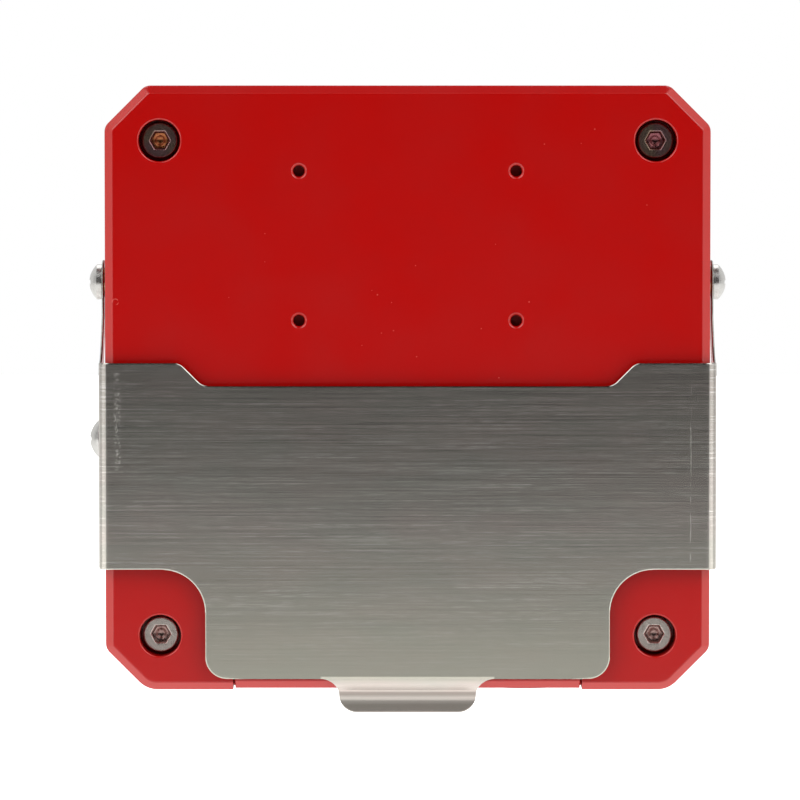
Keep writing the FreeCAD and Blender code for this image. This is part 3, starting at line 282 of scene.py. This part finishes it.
def makeBrushedSteel():
    # stainless sheet with a belt-brushed face: fine level strokes, a soft upright smear of light
    look = brushedSteel
    material, tree, shader, place = newMaterial("brushed stainless steel")
    strokes = grainAt(tree, place, [look["strokeLength"], look["strokeLength"], look["strokeWidth"]], 2.0)
    broken = grainAt(tree, place, [look["breakLength"], look["breakLength"], look["breakWidth"]], 1.0)
    kept = spread(tree, broken, look["strokeKept"], 1.7, 0.35, 0.68)
    strokes = compute(tree, "ADD", compute(tree, "MULTIPLY", compute(tree, "SUBTRACT", strokes, 0.5), kept), 0.5)
    dashes = spread(tree, grainAt(tree, place, [look["dashLength"], look["dashLength"], look["dashWidth"]], 1.0),
                    0.0, look["dashShare"], 0.5, 0.72)
    dashes = compute(tree, "MULTIPLY", dashes, spread(tree, broken, 0.0, 1.0, 0.4, 0.68))
    blotch = grainAt(tree, place, [look["blotch"], look["blotch"], look["blotch"] / 3], 2.0)
    tint = blendColours(tree, spread(tree, blotch, 0.0, 1.0), look["warm"], look["cool"])
    metal = blendColours(tree, spread(tree, strokes, 0.0, 1.0), look["darkGrainAndLipShade"], look["bright"])
    metal = blendColours(tree, 0.35, metal, tint)
    height = addNode(tree, "ShaderNodeSeparateXYZ", links={0: place}).outputs["Z"]
    aboveLip = spread(tree, height, 0.0, 1.0, *[heightOf(row) for row in look["toneEnds"]])
    # painted shade on the top rows and painted reflection on the low rows, both left off the lip
    for part in ("top", "low"):
        full, none = [heightOf(row) for row in look[part + "Rows"]]
        share = compute(tree, "MULTIPLY", spread(tree, height, 0.0, look[part + "Share"], none, full), aboveLip)
        metal = blendColours(tree, share, metal, look[part + "Tone"])
    dashes = compute(tree, "MULTIPLY", dashes,
                     spread(tree, height, 0.0, 1.0, heightOf(look["smoothFull"]), heightOf(look["smoothFrom"])))
    metal = blendColours(tree, dashes, metal, look["dashColour"])
    # painted shade along the lip's crease and a painted dark reflection at its end
    top, full, fading, low = [heightOf(row) for row in look["creaseRows"]]
    crease = compute(tree, "MULTIPLY", spread(tree, height, 1.0, 0.0, full, top),
                     spread(tree, height, 0.0, 1.0, low, fading))
    end = spread(tree, height, 1.0, 0.0, heightOf(look["endRows"][1]), heightOf(look["endRows"][0]))
    darkGrainAndLipShade = compute(tree, "ADD", compute(tree, "MULTIPLY", crease, look["creaseShare"]),
                   compute(tree, "MULTIPLY", end, look["endShare"]))
    metal = blendColours(tree, darkGrainAndLipShade, metal, look["lipShadeColour"])
    rub = compute(tree, "MULTIPLY", boxMask(tree, place, look["rub"], look["rubSoft"]),
                  spread(tree, grainAt(tree, place, [0.3, 0.3, 0.4], 2.0), 0.0, 0.9, 0.5, 0.72))
    scratch = compute(tree, "MULTIPLY", boxMask(tree, place, look["scratch"], 0.05),
                      spread(tree, grainAt(tree, place, [0.6, 0.6, 2.4], 3.0), 0.0, 0.85, 0.47, 0.6))
    marks = compute(tree, "MAXIMUM", rub, scratch)
    metal = blendColours(tree, compute(tree, "MULTIPLY", marks, 0.5), metal, "F4F2EC")
    tree.links.new(metal, shader.inputs["Base Color"])
    rough = spread(tree, strokes, look["roughness"] - look["strokeRoughness"],
                   look["roughness"] + look["strokeRoughness"])
    rough = compute(tree, "ADD", rough, compute(tree, "MULTIPLY", marks, 0.12))
    tree.links.new(rough, shader.inputs["Roughness"])
    setShader(shader, Metallic=1.0, Anisotropic=look["alongGrain"], Anisotropic_Rotation=0.25)
    tangent = addNode(tree, "ShaderNodeTangent", direction_type="RADIAL", axis="Z")
    tree.links.new(tangent.outputs[0], shader.inputs["Tangent"])
    addBump(tree, shader, strokes, look["strokeDepth"], 0.5)
    return material


fastenerSteel = {
    "bright": "C8BFB8", "grime": "5A4438", "roughness": 0.26, "grimeSize": 0.8, "turning": 0.12,
    # the two upper cover screws are darker, in purple and olive blotches, and the floors of all four sockets are
    # darker and brownish
    "upperPurple": "7E545A", "upperOlive": "7E6650", "upperShare": 0.8, "upperBlotchSize": 5.0,
    "upperLeftSocket": "A8622E", "upperRightSocket": "8C5058", "lowerSocket": "94706A",
    "socketFrom": 3.5, "socketFull": 4.6, "cornersFrom": 40.0,
    # the screws on the sides are cleaner
    "sideColour": "D6D6D3", "sidesFrom": 59.0,
}


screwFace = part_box("front_cover")[0].y


def makeFastenerSteel():
    # plain stainless screws: cold-headed grey metal, a little dull, with blotches of brown grime and darker, brownish
    # socket floors
    look = fastenerSteel
    material, tree, shader, place = newMaterial("stainless fastener steel")
    grime = spread(tree, grainAt(tree, place, [look["grimeSize"]] * 3, 4.0, 0.65), 0.0, 0.45, 0.5, 0.75)
    metal = blendColours(tree, grime, look["bright"], look["grime"])
    apart = addNode(tree, "ShaderNodeSeparateXYZ", links={0: place})
    outside = compute(tree, "GREATER_THAN", compute(tree, "ABSOLUTE", apart.outputs["X"]), look["sidesFrom"] * mm)
    metal = blendColours(tree, compute(tree, "MULTIPLY", outside, 0.8), metal, look["sideColour"])
    upper = compute(tree, "GREATER_THAN", apart.outputs["Z"], look["cornersFrom"] * mm)
    blotch = spread(tree, grainAt(tree, place, [look["upperBlotchSize"]] * 3), 0.0, 1.0, 0.4, 0.6)
    upperTint = blendColours(tree, blotch, look["upperPurple"], look["upperOlive"])
    metal = blendColours(tree, compute(tree, "MULTIPLY", upper, look["upperShare"]), metal, upperTint)
    # the floors of the cover screws' sockets
    sunk = spread(tree, apart.outputs["Y"], 0.0, 0.8, screwFace + look["socketFrom"] * mm,
                  screwFace + look["socketFull"] * mm)
    inCorner = compute(tree, "GREATER_THAN", compute(tree, "ABSOLUTE", apart.outputs["Z"]), look["cornersFrom"] * mm)
    sunk = compute(tree, "MULTIPLY", sunk, inCorner)
    side = spread(tree, apart.outputs["X"], 0.0, 1.0, -0.05, 0.05)
    socketTint = blendColours(tree, side, look["upperLeftSocket"], look["upperRightSocket"])
    socketTint = blendColours(tree, upper, look["lowerSocket"], socketTint)
    tree.links.new(blendColours(tree, sunk, metal, socketTint), shader.inputs["Base Color"])
    fine = grainAt(tree, place, [look["turning"]] * 3)
    tree.links.new(spread(tree, fine, look["roughness"] - 0.05, look["roughness"] + 0.08), shader.inputs["Roughness"])
    setShader(shader, Metallic=1.0)
    addBump(tree, shader, fine, 0.002)
    return material


def makePlain(name, first, second, size, roughness, depth, **values):
    # a finish with one drift of colour and one fine surface grain, both of the given size in mm
    material, tree, shader, place = newMaterial(name)
    grain = grainAt(tree, place, [size] * 3, 3.0)
    tree.links.new(blendColours(tree, spread(tree, grain, 0.0, 1.0), first, second), shader.inputs["Base Color"])
    tree.links.new(spread(tree, grain, roughness - 0.04, roughness + 0.04), shader.inputs["Roughness"])
    setShader(shader, **values)
    addBump(tree, shader, grain, depth)
    return material


def makeClearGlass():
    # thin frangible pane: clear with a faint green edge
    material, tree, shader, place = newMaterial("clear pane glass")
    setShader(shader, IOR=1.5, Transmission_Weight=1.0)
    smear = grainAt(tree, place, [6.0, 6.0, 9.0], 3.0)
    tree.links.new(blendColours(tree, spread(tree, smear, 0.0, 1.0), "F2FAF6", "E8F4EE"), shader.inputs["Base Color"])
    tree.links.new(spread(tree, smear, 0.01, 0.06), shader.inputs["Roughness"])
    return material


finishes = {
    "red_moulding": makeRedMoulding(),
    "brushed_stainless": makeBrushedSteel(),
    "screw_steel": makeFastenerSteel(),
    # turned brass: warm yellow, tool marks a fifth of a millimetre apart
    "brass": makePlain("turned brass", "C9A45C", "B8934C", 0.2, 0.3, 0.004, Metallic=1.0),
    # pressed rubber: black and matt with a dry bloom
    "black_rubber": makePlain("black rubber", "1D1D1E", "2A2A2B", 0.6, 0.75, 0.02),
    "clear_glass": makeClearGlass(),
    # closed-cell foam: dark grey with half-millimetre cells
    "grey_foam": makePlain("closed-cell foam", "4B4B4D", "3B3B3E", 0.5, 0.9, 0.12),
    # moulded nylon: black with a fine spark-eroded grain
    "black_plastic": makePlain("black nylon", "232325", "1B1B1D", 0.35, 0.5, 0.012),
    # zinc plating: pale bluish grey with a crystalline drift
    "zinc_plate": makePlain("zinc plating", "C2C5CA", "A8ACB3", 1.2, 0.34, 0.003, Metallic=1.0),
    # extruded wire insulation: blue with a waxy sheen
    "lead_insulation": makePlain("blue wire insulation", "2A3F8E", "233677", 1.5, 0.42, 0.006),
    # moulded nylon: ivory, slightly translucent to the eye
    "ivory_plastic": makePlain("ivory nylon", "E2DDC9", "D6D0BA", 0.8, 0.45, 0.008),
}


def dressNodes():
    for row in frame["record"]["subparts"]:
        node = nodes[row["node"]]
        node.data.materials.clear()
        node.data.materials.append(finishes[row["material_slot"]])


print("materials on the frame")
dressNodes()


# ---- nodes shown as merged copies, with the small roundings that moulding and deburring leave


rounded = {
    "mergeWithin": 0.002 * mm, "flatWithin": math.radians(0.6), "sharperThan": math.radians(38),
    # the flap's cut edge is too tightly curved to round where the lip leaves it
    "tightFrom": 13.0 * mm, "tightTo": 18.0 * mm, "tightBelow": -56.8 * mm,
    # node: piece, body, rounding in millimetres
    "lift_flap": ("brushedFlap", "flap", 0.26),
    "front_cover": ("coverMoulding", "enclosure", 0.1),
    "glass_frame": ("frameMoulding", "enclosure", 0.2),
    "cover_screws": ("socketScrews", "enclosure", 0.12),
}


def selectSharp(piece, node):
    # in edit mode: the edges to round
    bpy.ops.mesh.select_mode(type="EDGE")
    bpy.ops.mesh.select_all(action="DESELECT")
    bpy.ops.mesh.edges_select_sharp(sharpness=rounded["sharperThan"])
    bpy.ops.object.mode_set(mode="OBJECT")
    mesh = piece.data
    for part in (*mesh.vertices, *mesh.polygons):
        part.select = False
    for edge in mesh.edges:
        ends = [mesh.vertices[i].co for i in edge.vertices]
        tight = any(rounded["tightFrom"] < abs(end.x) < rounded["tightTo"] and end.z < rounded["tightBelow"]
                    for end in ends)
        if node == "lift_flap" and tight:
            edge.select = False
    bpy.ops.object.mode_set(mode="EDIT")


def roundNode(node):
    name, body, width = rounded[node]
    makeActive(nodes[node])
    bpy.ops.object.duplicate()
    piece = bpy.context.active_object
    piece.name = name
    bpy.ops.object.mode_set(mode="EDIT")
    bpy.ops.mesh.select_all(action="SELECT")
    bpy.ops.mesh.remove_doubles(threshold=rounded["mergeWithin"])
    bpy.ops.mesh.select_all(action="SELECT")
    bpy.ops.mesh.dissolve_limited(angle_limit=rounded["flatWithin"])
    selectSharp(piece, node)
    bpy.ops.mesh.bevel(offset=width * mm, segments=2, affect="EDGES", clamp_overlap=False)
    bpy.ops.object.mode_set(mode="OBJECT")
    bpy.ops.object.shade_smooth()
    piece.modifiers.new("flat faces stay flat", "WEIGHTED_NORMAL").weight = 100
    finishModifiers(piece)
    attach(piece, body)
    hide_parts(node)


print("rounded edges")
for node in ("lift_flap", "front_cover", "glass_frame", "cover_screws"):
    roundNode(node)


spring = {
    "joint": "plunger_slide", "travel": 2.0 * mm,
    "seat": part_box("plunger_spring")[1], "length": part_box("plunger_spring")[1].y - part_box("plunger_spring")[0].y,
    "smoothWithin": math.radians(50),
}


def makeSpring():
    # a merged, smooth-shaded copy of the coil spring, fixed to the enclosure
    makeActive(nodes["plunger_spring"])
    bpy.ops.object.duplicate()
    piece = bpy.context.active_object
    piece.name = "coilSpring"
    bpy.ops.object.mode_set(mode="EDIT")
    bpy.ops.mesh.select_all(action="SELECT")
    bpy.ops.mesh.remove_doubles(threshold=rounded["mergeWithin"])
    bpy.ops.object.mode_set(mode="OBJECT")
    bpy.ops.object.shade_smooth_by_angle(angle=spring["smoothWithin"])
    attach(piece, "enclosure")
    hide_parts("plunger_spring")
    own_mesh(piece)


makeSpring()


# ---- stage, camera and light


stage = {
    "floorBelow": 0.138, "floorBack": 4.0, "floorFront": 1.46, "floorHalf": 3.0, "floor": "F2F2F0",
    "glow": 0.17, "whiteToCamera": 1.0,
}


def makeFloor():
    level = cadLow.z - stage["floorBelow"]
    depth = stage["floorBack"] + stage["floorFront"]
    middle = (stage["floorBack"] - stage["floorFront"]) / 2
    deselectAll()
    bpy.ops.mesh.primitive_plane_add(size=1.0, location=(0, middle, level))
    floor = bpy.context.active_object
    floor.name = "paleFloor"
    floor.scale = (2 * stage["floorHalf"], depth, 1)
    applyPlace(floor)
    material, tree, shader, place = newMaterial("pale paper floor")
    shade = grainAt(tree, place, [60.0] * 3)
    tree.links.new(blendColours(tree, spread(tree, shade, 0.0, 1.0), stage["floor"], "EFEFEE"),
                   shader.inputs["Base Color"])
    setShader(shader, Roughness=0.9, Specular_IOR_Level=0.1)
    light = addNode(tree, "ShaderNodeLightPath")
    shader.inputs["Emission Color"].default_value = (1, 1, 1, 1)
    tree.links.new(spread(tree, light.outputs["Is Camera Ray"], stage["glow"], stage["whiteToCamera"], 0.0, 1.0),
                   shader.inputs["Emission Strength"])
    # seen from underneath the floor is clear, so that the bottom of the call point can be looked at
    under = addNode(tree, "ShaderNodeNewGeometry")
    clear = addNode(tree, "ShaderNodeBsdfTransparent")
    hidden = compute(tree, "MULTIPLY", under.outputs["Backfacing"], light.outputs["Is Camera Ray"])
    mixed = addNode(tree, "ShaderNodeMixShader",
                    links={0: hidden, 1: shader.outputs[0], 2: clear.outputs[0]})
    tree.links.new(mixed.outputs[0], tree.nodes["Material Output"].inputs["Surface"])
    floor.data.materials.append(material)


def makeWorld():
    # white behind the call point, and a dark room on the camera's side, which only the metal sees
    world = bpy.data.worlds.new("white studio")
    bpy.context.scene.world = world
    world.use_nodes = True
    tree = world.node_tree
    back = tree.nodes["Background"]
    direction = addNode(tree, "ShaderNodeTexCoord").outputs["Generated"]
    towards = addNode(tree, "ShaderNodeSeparateXYZ", links={0: direction}).outputs["Y"]
    level = spread(tree, towards, studio["frontLevel"], studio["backLevel"], -0.05, 0.4)
    light = addNode(tree, "ShaderNodeLightPath")
    white = compute(tree, "MAXIMUM", level, light.outputs["Is Camera Ray"])
    back.inputs["Color"].default_value = (1, 1, 1, 1)
    tree.links.new(white, back.inputs["Strength"])


studio = {
    "frontLevel": 0.02, "backLevel": 0.8,
    "sideRadiance": 0.75, "underRadiance": 0.25, "overRadiance": 1.2,
    # two soft suns above the camera, one at each turn, in degrees
    "sunLevel": 1.3, "sunHeight": 42.0, "sunWidth": 55.0, "sunTurns": (-50, 50),
}


def makeAreaLight(name, radiance, place, aim, width, height):
    # the power that gives a plain panel of this size the radiance
    lamp = bpy.data.lights.new(name, "AREA")
    lamp.shape = "RECTANGLE"
    lamp.size = width
    lamp.size_y = height
    lamp.energy = radiance * math.pi * width * height
    holder = bpy.data.objects.new(name, lamp)
    bpy.context.scene.collection.objects.link(holder)
    holder.location = place
    toAim = type(holder.location)(aim) - holder.location
    holder.rotation_euler = toAim.to_track_quat("-Z", "Y").to_euler()
    holder.visible_camera = False
    return holder


def makeLights():
    faceY = cadLow.y
    for side, name in ((-1, "leftBox"), (1, "rightBox")):
        makeAreaLight(name, studio["sideRadiance"], (side * 0.62, faceY - 0.33, 0.15), (0, faceY - 0.33, 0.15),
                      0.7, 1.6)
    makeAreaLight("underBox", studio["underRadiance"], (0, faceY + 0.01, cadLow.z - 0.09),
                  (0, faceY + 0.01, cadLow.z), 0.6, 0.13)
    makeAreaLight("overBox", studio["overRadiance"], (0, 0.7, 1.1), (0, -0.2, -0.1), 1.4, 0.9)
    for number, turn in enumerate(studio["sunTurns"]):
        lamp = bpy.data.lights.new(f"softSun{number}", "SUN")
        lamp.energy = studio["sunLevel"]
        lamp.angle = math.radians(studio["sunWidth"])
        holder = bpy.data.objects.new(f"softSun{number}", lamp)
        bpy.context.scene.collection.objects.link(holder)
        holder.rotation_euler = (math.radians(90 - studio["sunHeight"]), 0, math.radians(turn))


camera = {"distance": 1.12, "lift": 0.059, "side": -0.0015, "aimZ": -0.00223, "lens": 254.8, "sensor": 36.0}


def makeCamera():
    data = bpy.data.cameras.new("photographer")
    data.sensor_width = camera["sensor"]
    data.lens = camera["lens"]
    holder = bpy.data.objects.new("photographer", data)
    bpy.context.scene.collection.objects.link(holder)
    faceY = -0.072
    holder.location = (camera["side"], faceY - camera["distance"], camera["lift"])
    aim = type(holder.location)((camera["side"], faceY, camera["aimZ"]))
    holder.rotation_euler = (aim - holder.location).to_track_quat("-Z", "Y").to_euler()
    data.clip_start = 0.01
    data.clip_end = 50.0
    bpy.context.scene.camera = holder


print("stage and light")
makeFloor()
makeWorld()
makeLights()
makeCamera()
bpy.context.scene.view_settings.view_transform = "Standard"

print("finish")
